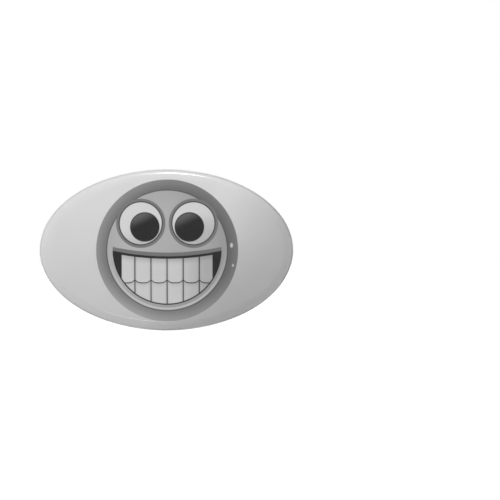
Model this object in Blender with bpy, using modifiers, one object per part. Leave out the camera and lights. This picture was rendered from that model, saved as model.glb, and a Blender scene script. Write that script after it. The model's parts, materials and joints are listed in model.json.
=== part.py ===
"""Oval pin-back button badge.

A printed sheet and a clear film are wrapped over a domed steel shell, whose edge is curled round a dished
steel back plate. The back plate carries a bar pin: a flat strip with a hinged needle and a turning
safety catch.

Frame: metres, +Z up, as the badge is worn. The printed front faces -Y. The plane y = 0 is the back rim,
which lies against the cloth, and the origin is the middle of that rim.
"""
import math

import bmesh
import bpy
from mathutils import Matrix, Vector

MM = 0.001

# Driving dimensions of the badge
BADGE_WIDTH = 69.85 * MM
BADGE_HEIGHT = 44.45 * MM
BADGE_DEPTH = 7.0 * MM
FILM_THICKNESS = 0.10 * MM
SHEET_THICKNESS = 0.12 * MM
SHELL_THICKNESS = 0.30 * MM
PLATE_THICKNESS = 0.30 * MM
LAYER_GAP = 0.04 * MM

# The rounded edge, as insets from the outline: shoulder, side and hem
SHOULDER_INSET = 3.4 * MM
SHOULDER_DEPTH = 3.1 * MM
SHOULDER_START = math.radians(12)
SIDE_Y = -1.8 * MM
CURL_INSET = 0.95 * MM
HEM_RADIUS = 0.75 * MM
HEM_ANGLE = math.radians(58)
DOME_SCALES = (0.35, 0.7)

# The back plate. FLOOR_RIDGE and BEADS are sections: (inset, height over the floor) and (inset, y)
FLOOR_HALF_WIDTH = 23.8 * MM
FLOOR_HALF_HEIGHT = 12.1 * MM
FLOOR_Y = -3.3 * MM
FLOOR_RIDGE = (
    (0.70 * MM, 0.0),
    (0.48 * MM, 0.16 * MM),
    (0.27 * MM, 0.32 * MM),
    (0.0, 0.12 * MM),
)
SLOPE_TOP_INSET = 4.3 * MM
SLOPE_TOP_Y = -0.36 * MM
SLOPE_POWER = 1.12
SLOPE_STEPS = 5
BEADS = (
    (4.00 * MM, -0.16 * MM),
    (3.70 * MM, -0.08 * MM),
    (3.42 * MM, -0.20 * MM),
    (3.15 * MM, -0.46 * MM),
    (2.90 * MM, -0.22 * MM),
    (2.65 * MM, -0.05 * MM),
    (2.42 * MM, -0.20 * MM),
    (2.20 * MM, -0.60 * MM),
    (1.90 * MM, -0.95 * MM),
    (0.80 * MM, -1.10 * MM),
)

# The pin bar and what stands on it
PIN_Z = 6.5 * MM
BAR_GAP = 0.05 * MM
BAR_THICKNESS = 0.45 * MM
BAR_WIDTH = 2.8 * MM
BAR_START_X = -16.5 * MM
BAR_END_X = 14.6 * MM
EAR_THICKNESS = 0.4 * MM
EAR_RADIUS = 1.6 * MM
HINGE_X = -14.6 * MM
WIRE_RADIUS = 0.375 * MM
RIVET_RADIUS = 0.4 * MM
RUNNING_GAP = 0.08 * MM
COIL_TURNS = 1.25
COIL_PITCH = 0.80 * MM
COIL_STEPS = 12
NEEDLE_TIP_X = 10.8 * MM
NEEDLE_TAPER_X = 5.2 * MM
TIP_SHARE = 0.12

# The catch
CATCH_X = 7.1 * MM
CATCH_Y = -0.80 * MM
HOUSING_LENGTH = 2.8 * MM
HOUSING_OUTER = 1.6 * MM
HOUSING_INNER = 1.2 * MM
HOUSING_MOUTH = math.radians(42)
FOOT_WIDTH = 1.8 * MM
BARREL_RADIUS = 1.1 * MM
BORE_RADIUS = 0.55 * MM
SLOT_WIDTH = 1.1 * MM
FLANGE_RADIUS = 1.9 * MM
FLANGE_THICKNESS = 0.7 * MM
FLANGE_GAP = 0.1 * MM
LEVER_ANGLE = math.radians(50)
LEVER_WIDTH = 1.0 * MM
LEVER_REACH = 3.0 * MM

# The rivets. HEAD_CROWN is a head's section, in shares of its radius and height
BAR_RIVETS_X = {"bar_rivet_right": -8.2 * MM, "bar_rivet_left": 12.4 * MM}
BAR_RIVET_SHANK = 0.5 * MM
BAR_RIVET_HEAD = 0.9 * MM
HINGE_RIVET_HEAD = 0.75 * MM
HEAD_HEIGHT = 0.35 * MM
HEAD_CROWN = ((0.0, 1.0), (0.62, 0.85), (1.0, 0.35))
HOLE_GAP = 0.1 * MM

# Mesh fineness
SEGMENTS = 48
SHOULDER_STEPS = 4
CURL_STEPS = 3
HEM_STEPS = 1
ROUND_STEPS = 24
MERGE = 0.000001

# Places that follow from the dimensions
HALF_WIDTH = BADGE_WIDTH / 2
HALF_HEIGHT = BADGE_HEIGHT / 2
BAR_FRONT_Y = FLOOR_Y + BAR_GAP
BAR_BACK_Y = BAR_FRONT_Y + BAR_THICKNESS
COIL_RADIUS = RIVET_RADIUS + RUNNING_GAP + WIRE_RADIUS
HINGE_Y = BAR_BACK_Y + COIL_RADIUS + WIRE_RADIUS + HOLE_GAP
EAR_OUTER = BAR_WIDTH / 2

BADGE_PARTS = "button_badge"
CUTTERS = "cutters"


def clear_scene():
    for obj in list(bpy.data.objects):
        bpy.data.objects.remove(obj, do_unlink=True)
    for name in (BADGE_PARTS, CUTTERS):
        collection = bpy.data.collections.new(name)
        bpy.context.scene.collection.children.link(collection)


def material(name, colour, roughness, metallic):
    made = bpy.data.materials.new(name)
    made.use_nodes = True
    shader = made.node_tree.nodes["Principled BSDF"]
    shader.inputs["Base Color"].default_value = (*colour, 1.0)
    shader.inputs["Roughness"].default_value = roughness
    shader.inputs["Metallic"].default_value = metallic
    return made


def add_object(name, mesh, place=(0, 0, 0), cutter=False):
    obj = bpy.data.objects.new(name, mesh)
    obj.location = place
    bpy.data.collections[CUTTERS if cutter else BADGE_PARTS].objects.link(obj)
    if cutter:
        obj.display_type = "WIRE"
        obj.hide_render = True
    return obj


def smooth(obj, degrees=35):
    obj.data.shade_smooth()
    obj.data.set_sharp_from_angle(angle=math.radians(degrees))


def boolean(obj, other, operation):
    modifier = obj.modifiers.new(f"{operation}_{other.name}", "BOOLEAN")
    modifier.operation = operation
    modifier.object = other
    modifier.solver = "EXACT"


# Lofted sheets: rings of elliptical outline, each one (half width, half height, y)

def ellipse_ring(bm, half_width, half_height, y):
    ring = []
    for step in range(SEGMENTS):
        angle = 2 * math.pi * step / SEGMENTS
        ring.append(bm.verts.new((half_width * math.cos(angle), y, half_height * math.sin(angle))))
    return ring


def join_rings(bm, first, second):
    for step in range(SEGMENTS):
        after = (step + 1) % SEGMENTS
        bm.faces.new((first[step], first[after], second[after], second[step]))


def cap_ring(bm, ring, y):
    middle = bm.verts.new((0, y, 0))
    for step in range(SEGMENTS):
        bm.faces.new((middle, ring[step], ring[(step + 1) % SEGMENTS]))


def lofted_sheet(name, outer, inner, outer_middle_y, inner_middle_y):
    """A closed sheet between two faces, each a list of rings from the middle to the rim."""
    bm = bmesh.new()
    rings = [ellipse_ring(bm, *ring) for ring in outer + inner[::-1]]
    for first, second in zip(rings, rings[1:]):
        join_rings(bm, first, second)
    cap_ring(bm, rings[0], outer_middle_y)
    cap_ring(bm, rings[-1], inner_middle_y)
    bmesh.ops.recalc_face_normals(bm, faces=bm.faces)
    mesh = bpy.data.meshes.new(name)
    bm.to_mesh(mesh)
    bm.free()
    return add_object(name, mesh)


def edge_profile():
    """The badge's edge seen in section, as (inset, y), from the front's shoulder to the tucked hem."""
    points = []
    for step in range(SHOULDER_STEPS + 1):
        angle = SHOULDER_START + (math.pi / 2 - SHOULDER_START) * step / SHOULDER_STEPS
        inset = SHOULDER_INSET * (1 - math.sin(angle))
        points.append(Vector((inset, SIDE_Y - SHOULDER_DEPTH * math.cos(angle))))
    for step in range(1, CURL_STEPS + 1):
        angle = math.pi / 2 * step / CURL_STEPS
        points.append(Vector((CURL_INSET * (1 - math.cos(angle)), SIDE_Y * (1 - math.sin(angle)))))
    for step in range(1, HEM_STEPS + 1):
        angle = HEM_ANGLE * step / HEM_STEPS
        inset = CURL_INSET + HEM_RADIUS * math.sin(angle)
        points.append(Vector((inset, -HEM_RADIUS * (1 - math.cos(angle)))))
    return points


def inward(direction):
    return Vector((direction.y, -direction.x))


def offset_profile(points, distance):
    """The same line moved inwards by distance, with its corners kept a full distance away."""
    moved = []
    last = len(points) - 1
    for index, point in enumerate(points):
        before = (point - points[max(index - 1, 0)]).normalized()
        after = (points[min(index + 1, last)] - point).normalized()
        normals = [inward(way) for way in (before, after) if way.length > 0]
        normal = sum(normals, Vector((0, 0))).normalized()
        moved.append(point + normal * (distance / normal.dot(normals[0])))
    return moved


def layer_face(distance):
    """Rings of the surface that lies distance under the badge's outer skin, middle to hem."""
    edge = offset_profile(edge_profile(), distance)
    shoulder_y = edge[0].y
    middle_y = -BADGE_DEPTH + distance
    half_width = HALF_WIDTH - edge[0].x
    half_height = HALF_HEIGHT - edge[0].x
    rings = []
    for scale in DOME_SCALES:
        y = middle_y + (shoulder_y - middle_y) * scale ** 2
        rings.append((half_width * scale, half_height * scale, y))
    for point in edge:
        rings.append((HALF_WIDTH - point.x, HALF_HEIGHT - point.x, point.y))
    return rings, middle_y


def wrapped_layer(name, distance, thickness, finish):
    outer, outer_middle_y = layer_face(distance)
    inner, inner_middle_y = layer_face(distance + thickness)
    layer = lofted_sheet(name, outer, inner, outer_middle_y, inner_middle_y)
    layer.data.materials.append(finish)
    smooth(layer)
    return layer


def make_layers():
    film_finish = material("clear_film", (0.75, 0.75, 0.75), 0.05, 0.0)
    sheet_finish = material("printed_sheet", (0.52, 0.52, 0.52), 0.4, 0.0)
    shell_finish = material("front_shell", (0.6, 0.6, 0.6), 0.3, 1.0)
    sheet_inset = FILM_THICKNESS + LAYER_GAP
    shell_inset = sheet_inset + SHEET_THICKNESS + LAYER_GAP
    wrapped_layer("clear_film", 0.0, FILM_THICKNESS, film_finish)
    wrapped_layer("printed_sheet", sheet_inset, SHEET_THICKNESS, sheet_finish)
    wrapped_layer("front_shell", shell_inset, SHELL_THICKNESS, shell_finish)


# The back plate

def plate_rings(shift):
    """Rings of the back plate's face, middle to outer edge, moved by shift along Y."""
    top_width = HALF_WIDTH - SLOPE_TOP_INSET
    top_height = HALF_HEIGHT - SLOPE_TOP_INSET
    rings = []
    for inset, height in FLOOR_RIDGE:
        rings.append((FLOOR_HALF_WIDTH - inset, FLOOR_HALF_HEIGHT - inset, FLOOR_Y + height + shift))
    slope_foot_y = FLOOR_Y + FLOOR_RIDGE[-1][1]
    for step in range(1, SLOPE_STEPS + 1):
        share = step / SLOPE_STEPS
        half_width = FLOOR_HALF_WIDTH + (top_width - FLOOR_HALF_WIDTH) * share
        half_height = FLOOR_HALF_HEIGHT + (top_height - FLOOR_HALF_HEIGHT) * share
        y = slope_foot_y + (SLOPE_TOP_Y - slope_foot_y) * share ** SLOPE_POWER
        rings.append((half_width, half_height, y + shift))
    for inset, y in BEADS:
        rings.append((HALF_WIDTH - inset, HALF_HEIGHT - inset, y + shift))
    return rings


def cylinder(name, radius, length, place, axis, cutter=False):
    """A cylinder centred at place, with its mesh turned so that it lies along axis."""
    bm = bmesh.new()
    bmesh.ops.create_cone(
        bm, cap_ends=True, segments=ROUND_STEPS, radius1=radius, radius2=radius, depth=length)
    turn = Vector((0, 0, 1)).rotation_difference(Vector(axis)).to_matrix()
    bmesh.ops.rotate(bm, verts=bm.verts, matrix=turn)
    mesh = bpy.data.meshes.new(name)
    bm.to_mesh(mesh)
    bm.free()
    return add_object(name, mesh, place, cutter)


def box(name, size, place, cutter=False):
    """A box centred at place."""
    bm = bmesh.new()
    bmesh.ops.create_cube(bm, size=1.0)
    bmesh.ops.scale(bm, verts=bm.verts, vec=size)
    mesh = bpy.data.meshes.new(name)
    bm.to_mesh(mesh)
    bm.free()
    return add_object(name, mesh, place, cutter)


def make_bar_rivet_holes():
    holes = []
    depth = 4 * (BAR_THICKNESS + PLATE_THICKNESS)
    for name, x in BAR_RIVETS_X.items():
        radius = BAR_RIVET_SHANK + HOLE_GAP
        holes.append(cylinder(f"{name}_hole", radius, depth, (x, FLOOR_Y, PIN_Z), (0, 1, 0), cutter=True))
    return holes


def make_back_plate(holes):
    back = plate_rings(0.0)
    front = plate_rings(-PLATE_THICKNESS)
    plate = lofted_sheet("back_plate", back, front, FLOOR_Y, FLOOR_Y - PLATE_THICKNESS)
    for hole in holes:
        boolean(plate, hole, "DIFFERENCE")
    plate.data.materials.append(material("back_plate", (0.55, 0.55, 0.56), 0.18, 1.0))
    smooth(plate, 25)


# The pin bar, its rivets and the needle

def outline_solid(name, outline, thickness, cutter=False):
    """A flat outline in its own XY plane, extruded to thickness about that plane, as a mesh."""
    curve = bpy.data.curves.new(name, "CURVE")
    curve.dimensions = "2D"
    curve.fill_mode = "BOTH"
    curve.extrude = thickness / 2
    spline = curve.splines.new("POLY")
    spline.points.add(len(outline) - 1)
    for point, (x, y) in zip(spline.points, outline):
        point.co = (x, y, 0, 1)
    spline.use_cyclic_u = True
    return solid_from_curve(name, curve, (0, 0, 0), cutter)


def solid_from_curve(name, curve, place, cutter=False):
    """A curve's solid as a mesh object with its caps welded on."""
    guide = bpy.data.objects.new(f"{name}_guide", curve)
    bpy.context.scene.collection.objects.link(guide)
    guide.location = place
    bpy.context.view_layer.update()
    evaluated = guide.evaluated_get(bpy.context.evaluated_depsgraph_get())
    mesh = bpy.data.meshes.new_from_object(evaluated)
    mesh.name = name
    bpy.data.objects.remove(guide, do_unlink=True)
    bm = bmesh.new()
    bm.from_mesh(mesh)
    bmesh.ops.remove_doubles(bm, verts=bm.verts, dist=MERGE)
    bmesh.ops.recalc_face_normals(bm, faces=bm.faces)
    bm.to_mesh(mesh)
    bm.free()
    return add_object(name, mesh, place, cutter)


def arc(centre_x, centre_y, radius, start, end, steps):
    points = []
    for step in range(steps + 1):
        angle = start + (end - start) * step / steps
        points.append((centre_x + radius * math.cos(angle), centre_y + radius * math.sin(angle)))
    return points


def make_ear(name, middle_z):
    """An upright ear with a round top about the hinge axis, standing on the bar."""
    base_y = BAR_BACK_Y - BAR_THICKNESS / 2
    outline = [(HINGE_X + EAR_RADIUS, base_y)]
    outline += arc(HINGE_X, HINGE_Y, EAR_RADIUS, 0, math.pi, ROUND_STEPS // 2)
    outline.append((HINGE_X - EAR_RADIUS, base_y))
    ear = outline_solid(name, outline, EAR_THICKNESS, cutter=True)
    ear.location = (0, 0, middle_z)
    return ear


def make_pin_bar(holes):
    length = BAR_END_X - BAR_START_X
    place = ((BAR_END_X + BAR_START_X) / 2, (BAR_FRONT_Y + BAR_BACK_Y) / 2, PIN_Z)
    bar = box("pin_bar", (length, BAR_THICKNESS, BAR_WIDTH), place)
    ear_middle = EAR_OUTER - EAR_THICKNESS / 2
    boolean(bar, make_ear("ear_upper", PIN_Z + ear_middle), "UNION")
    boolean(bar, make_ear("ear_lower", PIN_Z - ear_middle), "UNION")
    hinge = (HINGE_X, HINGE_Y, PIN_Z)
    axle_radius = RIVET_RADIUS + RUNNING_GAP
    axle_hole = cylinder("axle_hole", axle_radius, 2 * BAR_WIDTH, hinge, (0, 0, 1), cutter=True)
    for hole in [axle_hole] + holes:
        boolean(bar, hole, "DIFFERENCE")
    bar.data.materials.append(material("pin_bar", (0.5, 0.5, 0.5), 0.25, 1.0))


def turned_solid(name, profile, place, turn):
    """A solid turned about its own Z from (radius, height) points, listed top to bottom."""
    mesh = bpy.data.meshes.new(name)
    verts = [(radius, 0, height) for radius, height in profile]
    edges = [(index, index + 1) for index in range(len(profile) - 1)]
    mesh.from_pydata(verts, edges, [])
    solid = add_object(name, mesh, place)
    solid.matrix_world = Matrix.Translation(place) @ turn
    screw = solid.modifiers.new("turned", "SCREW")
    screw.axis = "Z"
    screw.steps = ROUND_STEPS
    screw.render_steps = ROUND_STEPS
    screw.use_merge_vertices = True
    screw.merge_threshold = MERGE
    return solid


def headed_rivet(name, shank, head, half_grip, place, turn):
    """A rivet with a low domed head at each end of its shank."""
    crown = [(head * across, half_grip + HEAD_HEIGHT * up) for across, up in HEAD_CROWN]
    crown += [(head, half_grip), (shank, half_grip)]
    tail = [(radius, -height) for radius, height in reversed(crown)]
    rivet = turned_solid(name, crown + tail, place, turn)
    rivet.data.materials.append(material(name, (0.62, 0.62, 0.62), 0.25, 1.0))
    return rivet


def make_rivets():
    upright = Matrix.Identity(4)
    along_y = Matrix.Rotation(math.radians(-90), 4, "X")
    hinge_grip = EAR_OUTER + BAR_GAP
    hinge = (HINGE_X, HINGE_Y, PIN_Z)
    headed_rivet("hinge_rivet", RIVET_RADIUS, HINGE_RIVET_HEAD, hinge_grip, hinge, upright)
    grip_back = BAR_BACK_Y + BAR_GAP
    grip_front = FLOOR_Y - PLATE_THICKNESS - BAR_GAP
    half_grip = (grip_back - grip_front) / 2
    for name, x in BAR_RIVETS_X.items():
        place = (x, (grip_back + grip_front) / 2, PIN_Z)
        headed_rivet(name, BAR_RIVET_SHANK, BAR_RIVET_HEAD, half_grip, place, along_y)


def needle_route():
    """The needle's middle line from its coil to its tip, as (point, share of the wire's radius)."""
    route = []
    coil_steps = round(COIL_STEPS * COIL_TURNS)
    coil_rise = COIL_PITCH * COIL_TURNS
    for step in range(coil_steps + 1):
        share = step / coil_steps
        angle = math.pi / 2 + 2 * math.pi * COIL_TURNS * (1 - share)
        height = coil_rise * (0.5 - share)
        route.append(((COIL_RADIUS * math.cos(angle), COIL_RADIUS * math.sin(angle), height), 1.0))
    start = Vector(route[-1][0])
    catch = Vector((CATCH_X - HINGE_X, CATCH_Y - HINGE_Y, 0))
    for x, radius_share in ((NEEDLE_TAPER_X, 1.0), (NEEDLE_TIP_X, TIP_SHARE)):
        share = (x - HINGE_X - start.x) / (catch.x - start.x)
        route.append((tuple(start.lerp(catch, share)), radius_share))
    return route


def make_needle():
    curve = bpy.data.curves.new("needle", "CURVE")
    curve.dimensions = "3D"
    curve.bevel_depth = WIRE_RADIUS
    curve.bevel_resolution = 2
    curve.use_fill_caps = True
    route = needle_route()
    spline = curve.splines.new("POLY")
    spline.points.add(len(route) - 1)
    for point, (place, radius_share) in zip(spline.points, route):
        point.co = (*place, 1)
        point.radius = radius_share
    needle = solid_from_curve("needle", curve, (HINGE_X, HINGE_Y, PIN_Z))
    needle.data.materials.append(material("needle", (0.62, 0.62, 0.62), 0.2, 1.0))
    smooth(needle, 40)


# The catch

def make_catch_housing():
    """A sheet rolled round the lock and open at the back, on a foot that stands on the bar."""
    start = math.pi / 2 + HOUSING_MOUTH
    end = math.pi * 2.5 - HOUSING_MOUTH
    outline = arc(0, 0, HOUSING_OUTER, start, end, ROUND_STEPS)
    outline += arc(0, 0, HOUSING_INNER, end, start, ROUND_STEPS)
    housing = outline_solid("catch_housing", outline, HOUSING_LENGTH)
    housing.location = (CATCH_X, CATCH_Y, PIN_Z)
    housing.rotation_euler = (0, math.radians(90), 0)
    foot_front = BAR_BACK_Y + BAR_GAP
    foot_back = CATCH_Y - (HOUSING_OUTER + HOUSING_INNER) / 2
    size = (HOUSING_LENGTH, foot_back - foot_front, FOOT_WIDTH)
    foot = box("catch_foot", size, (CATCH_X, (foot_front + foot_back) / 2, PIN_Z), cutter=True)
    boolean(housing, foot, "UNION")
    housing.data.materials.append(material("catch_housing", (0.55, 0.55, 0.55), 0.25, 1.0))


def make_catch_lock():
    """A slotted barrel with a flange at each end and a lever on the flange nearer the needle's tip."""
    catch = (CATCH_X, CATCH_Y, PIN_Z)
    flange_middle = HOUSING_LENGTH / 2 + FLANGE_GAP + FLANGE_THICKNESS / 2
    lock_length = 2 * flange_middle + FLANGE_THICKNESS
    along_x = (1, 0, 0)
    lock = cylinder("catch_lock", BARREL_RADIUS, lock_length, catch, along_x)
    for side, name in ((-1, "flange_hinge_side"), (1, "flange_tip_side")):
        place = (CATCH_X + side * flange_middle, CATCH_Y, PIN_Z)
        boolean(lock, cylinder(name, FLANGE_RADIUS, FLANGE_THICKNESS, place, along_x, cutter=True), "UNION")
    lever_start = BORE_RADIUS + RUNNING_GAP
    lever_middle = (LEVER_REACH + lever_start) / 2
    size = (FLANGE_THICKNESS, LEVER_REACH - lever_start, LEVER_WIDTH)
    lever = box("lever", size, (0, 0, 0), cutter=True)
    turn = Matrix.Rotation(LEVER_ANGLE, 4, "X")
    lever_place = Matrix.Translation((CATCH_X + flange_middle, CATCH_Y, PIN_Z))
    lever.matrix_world = lever_place @ turn @ Matrix.Translation((0, lever_middle, 0))
    boolean(lock, lever, "UNION")
    bore = cylinder("lock_bore", BORE_RADIUS, 2 * lock_length, catch, along_x, cutter=True)
    boolean(lock, bore, "DIFFERENCE")
    slot_place = (CATCH_X, CATCH_Y + FLANGE_RADIUS, PIN_Z)
    slot = box("lock_slot", (2 * lock_length, 2 * FLANGE_RADIUS, SLOT_WIDTH), slot_place, cutter=True)
    boolean(lock, slot, "DIFFERENCE")
    lock.data.materials.append(material("catch_lock", (0.65, 0.65, 0.65), 0.2, 1.0))


def main():
    clear_scene()
    holes = make_bar_rivet_holes()
    make_layers()
    make_back_plate(holes)
    make_pin_bar(holes)
    make_rivets()
    make_needle()
    make_catch_housing()
    make_catch_lock()


main()
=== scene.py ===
"""Looks for the oval pin-back button badge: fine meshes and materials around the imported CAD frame.

Metres, +Z up, the printed front facing -Y and the rim's plane at y = 0, as in the CAD model.
"""
import json
import math

import bmesh
import bpy
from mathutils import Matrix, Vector, noise


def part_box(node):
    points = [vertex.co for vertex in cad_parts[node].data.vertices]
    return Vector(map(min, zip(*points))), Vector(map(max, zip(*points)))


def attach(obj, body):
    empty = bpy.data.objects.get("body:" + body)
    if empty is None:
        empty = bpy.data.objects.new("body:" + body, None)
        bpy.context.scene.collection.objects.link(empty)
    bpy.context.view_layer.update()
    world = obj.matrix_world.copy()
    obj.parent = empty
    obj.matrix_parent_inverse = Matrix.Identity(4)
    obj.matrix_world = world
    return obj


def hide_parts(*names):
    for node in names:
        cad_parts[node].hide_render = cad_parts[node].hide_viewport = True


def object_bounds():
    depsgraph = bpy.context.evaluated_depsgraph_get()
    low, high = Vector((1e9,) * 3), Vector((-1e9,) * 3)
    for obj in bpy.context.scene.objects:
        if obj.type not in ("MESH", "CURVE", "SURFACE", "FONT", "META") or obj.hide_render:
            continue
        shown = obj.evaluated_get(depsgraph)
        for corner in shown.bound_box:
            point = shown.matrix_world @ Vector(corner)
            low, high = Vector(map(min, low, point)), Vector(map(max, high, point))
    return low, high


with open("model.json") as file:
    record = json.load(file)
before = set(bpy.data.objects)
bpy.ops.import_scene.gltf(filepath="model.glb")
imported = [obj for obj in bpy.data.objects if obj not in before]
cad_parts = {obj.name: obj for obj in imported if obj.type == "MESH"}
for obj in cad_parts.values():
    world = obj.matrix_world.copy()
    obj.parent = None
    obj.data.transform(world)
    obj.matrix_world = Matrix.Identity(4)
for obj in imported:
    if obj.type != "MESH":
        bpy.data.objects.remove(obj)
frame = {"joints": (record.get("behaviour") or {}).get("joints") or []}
cad_low, cad_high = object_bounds()

MM = 0.001

# Places and sizes read from the frame
film_low, film_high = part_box("clear_film")
HALF_WIDTH = film_high.x
HALF_HEIGHT = film_high.z
BADGE_DEPTH = film_high.y - film_low.y
bar_low, bar_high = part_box("pin_bar")
BAR_START_X, BAR_END_X = bar_low.x, bar_high.x
BAR_WIDTH = bar_high.z - bar_low.z
BAR_FRONT_Y = bar_low.y
PIN_Z = (bar_low.z + bar_high.z) / 2
joint_places = {joint["name"]: Vector(joint["pos_m"]) for joint in frame["joints"]}
HINGE = joint_places["needle_hinge"]
CATCH = joint_places["lock_turn"]
NEEDLE_TIP_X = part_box("needle")[1].x

# The design's own dimensions, as in the CAD source
FILM_THICKNESS = 0.10 * MM
SHEET_THICKNESS = 0.12 * MM
SHELL_THICKNESS = 0.30 * MM
PLATE_THICKNESS = 0.30 * MM
LAYER_GAP = 0.04 * MM
SHOULDER_INSET = 3.4 * MM
SHOULDER_DEPTH = 3.1 * MM
SHOULDER_START = math.radians(12)
SIDE_Y = -1.8 * MM
CURL_INSET = 0.95 * MM
HEM_RADIUS = 0.75 * MM
HEM_ANGLE = math.radians(58)
FLOOR_HALF_WIDTH = 23.8 * MM
FLOOR_HALF_HEIGHT = 12.1 * MM
FLOOR_Y = -3.3 * MM
# Inset from the floor's edge, height over the floor
FLOOR_RIDGE = (
    (0.70 * MM, 0.0),
    (0.48 * MM, 0.16 * MM),
    (0.27 * MM, 0.32 * MM),
    (0.0, 0.12 * MM),
)
SLOPE_TOP_INSET = 4.3 * MM
SLOPE_TOP_Y = -0.36 * MM
SLOPE_POWER = 1.12
# Inset from the outline, y
BEADS = (
    (4.00 * MM, -0.16 * MM),
    (3.70 * MM, -0.08 * MM),
    (3.42 * MM, -0.20 * MM),
    (3.15 * MM, -0.46 * MM),
    (2.90 * MM, -0.22 * MM),
    (2.65 * MM, -0.05 * MM),
    (2.42 * MM, -0.20 * MM),
    (2.20 * MM, -0.60 * MM),
    (1.90 * MM, -0.95 * MM),
    (0.80 * MM, -1.10 * MM),
)
BAR_THICKNESS = 0.45 * MM
BAR_GAP = 0.05 * MM
EAR_THICKNESS = 0.4 * MM
EAR_RADIUS = 1.6 * MM
WIRE_RADIUS = 0.375 * MM
RIVET_RADIUS = 0.4 * MM
RUNNING_GAP = 0.08 * MM
COIL_TURNS = 1.25
COIL_PITCH = 0.80 * MM
NEEDLE_TAPER_X = 5.2 * MM
HOUSING_LENGTH = 2.8 * MM
HOUSING_OUTER = 1.6 * MM
HOUSING_INNER = 1.2 * MM
HOUSING_MOUTH = math.radians(42)
FOOT_WIDTH = 1.8 * MM
BARREL_RADIUS = 1.1 * MM
BORE_RADIUS = 0.55 * MM
SLOT_WIDTH = 1.1 * MM
FLANGE_RADIUS = 1.9 * MM
FLANGE_THICKNESS = 0.7 * MM
FLANGE_GAP = 0.1 * MM
LEVER_ANGLE = math.radians(50)
LEVER_WIDTH = 1.0 * MM
LEVER_REACH = 3.0 * MM
BAR_CORNER = 0.5 * MM
BEND_OUTER = 0.5 * MM
BEND_INNER = 0.12 * MM
BAR_RIVET_SHANK = 0.5 * MM
BAR_RIVET_HEAD = 0.9 * MM
HEAD_HEIGHT = 0.35 * MM
CROWN_EDGE = 0.12
DIMPLE_HEIGHT = 0.62
# Edges of pressed sheet, and how the needle's tip is drawn to a point
PRESSED_BEVEL = 0.11 * MM
HOUSING_BEVEL = 0.06 * MM
TIP_CURVE = 1.6
TIP_RADIUS_SHARE = 0.04

BAR_BACK_Y = BAR_FRONT_Y + BAR_THICKNESS
COIL_RADIUS = RIVET_RADIUS + RUNNING_GAP + WIRE_RADIUS

# How deep the folded layers are tucked: less than the gaps under them
PLEAT_DEPTHS = {"clear_film": 0.10 * MM, "printed_sheet": 0.07 * MM}
TUCKS = 22
TUCK_SLANT = 0.6 * MM
TUCK_SHARPNESS = 6.5
TUCK_AT_SIDES = 0.35
TUCK_SHARE = 0.6
TUCK_INWARD = 0.6
TUCK_FORWARD = 0.8

# Mesh fineness
EASE_ROUNDS = 40
COIL_STEPS_PER_TURN = 36
STRAIGHT_STEPS = 8
TAPER_STEPS = 12
SEGMENTS = 480
DOME_STEPS = 20
SHOULDER_STEPS = 12
CURL_STEPS = 10
HEM_STEPS = 6
SLOPE_STEPS = 14
CURVE_STEPS = 5
ROUND_STEPS = 64
CROWN_STEPS = 10
MERGE = 0.000001

# The lamps, in metres and watts
KEY_PLACE = (-0.45, -0.60, 0.45)
KEY_SIZE = (0.45, 0.45)
KEY_POWER = 2.3
# Above the badge, a small bright lamp in a larger soft one: place, size and power
TOP_LAMPS = {
    "top_core": ((0.030, -0.12, 0.60), (0.15, 0.16), 0.9),
    "top_soft": ((0.01, -0.11, 0.62), (0.26, 0.22), 0.4),
}

# Light of the stage, as shares of the white that the camera sees
STAGE_FLOOR_RADIUS = 3.0
STAGE_FLOOR_TONE = (0.42, 0.42, 0.42, 1)
FLOOR_GLOW = 0.50
FLOOR_SPILL = 0.42
TENT_LOW = 0.76
TENT_HIGH = 0.84
TENT_BEHIND = 0.75
ROOM_FRONT = 0.24
ROOM_BESIDE = 0.95
ROOM_BEHIND = 0.25
ROOM_DARK = (0.010, 0.045)
ROOM_GAP = (0.02, 0.14)
ROOM_RING = (0.35, 1.25)
RING_TURN = (0.02, 0.14)
ROOM_WARP = 0.12
FRONT_FACING = (-0.45, 0.05)
BESIDE_FACING = (0.12, 0.42)
RING_FACING = (math.cos(math.radians(28)), math.cos(math.radians(22)))
RING_HOLE_FACING = (math.cos(math.radians(11)), math.cos(math.radians(7)))
DARK_SIDE = (math.radians(18), math.radians(26))
GAP_RISE = (math.radians(33), math.radians(38))
PANEL_INNER_BLUR = math.radians(5)
PANEL_OUTER_BLUR = math.radians(1)
# Pale panels of the room: azimuth and rise of the middle, half width, half height (degrees), brightness
PANELS = (
    (13.6, -48, 6.4, 16, 1.25),
    (5.9, 48, 2.2, 16, 1.25),
    (-14, -48, 6, 16, 1.25),
    (-12, 48, 4, 16, 1.25),
    (52, -42, 7, 10, 1.25),
    (62, 8, 5, 6, 1.25),
    (-168, -39, 9, 3, 3.0),
)

# Finishes
FILM_IOR = 1.55
FILM_GLOSS_LIMIT = 0.15
FILM_HAZE = (0.03, 0.075)
# Roughness that the film gains at the rim, and from which y to which, in millimetres
RIM_HAZE = 0.17
RIM_HAZE_DEPTHS = (-5.0, -3.6)
FLOOR_TONES = (0.26, 0.31)
FLOOR_ROUGHNESS = (0.26, 0.34)
FLOOR_METAL = 0.4
SLOPE_TONES = (0.76, 0.82)
SLOPE_ROUGHNESS = (0.05, 0.10)
# Painted highlight: the ridge round the floor is pale and nearly matt
RIDGE_HIGHLIGHT_TONE = 0.95
RIDGE_METAL = 0.1
# Painted shade in the back plate's grooves
GROOVE_SHADE_TONE = 0.5
# Painted sheen: the tin past the slope's top, on the beads, is made brighter
BEAD_SHEEN_TONE = 0.95

# The picture's frame: how wide it is at the badge, and where the badge stands in it
VIEW_WIDTH = 137.5 * MM
VIEW_SHIFT_X = 22.96 * MM
LENS_MM = 200
SENSOR_MM = 36


# ---------------------------------------------------------------- node graphs

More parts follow.
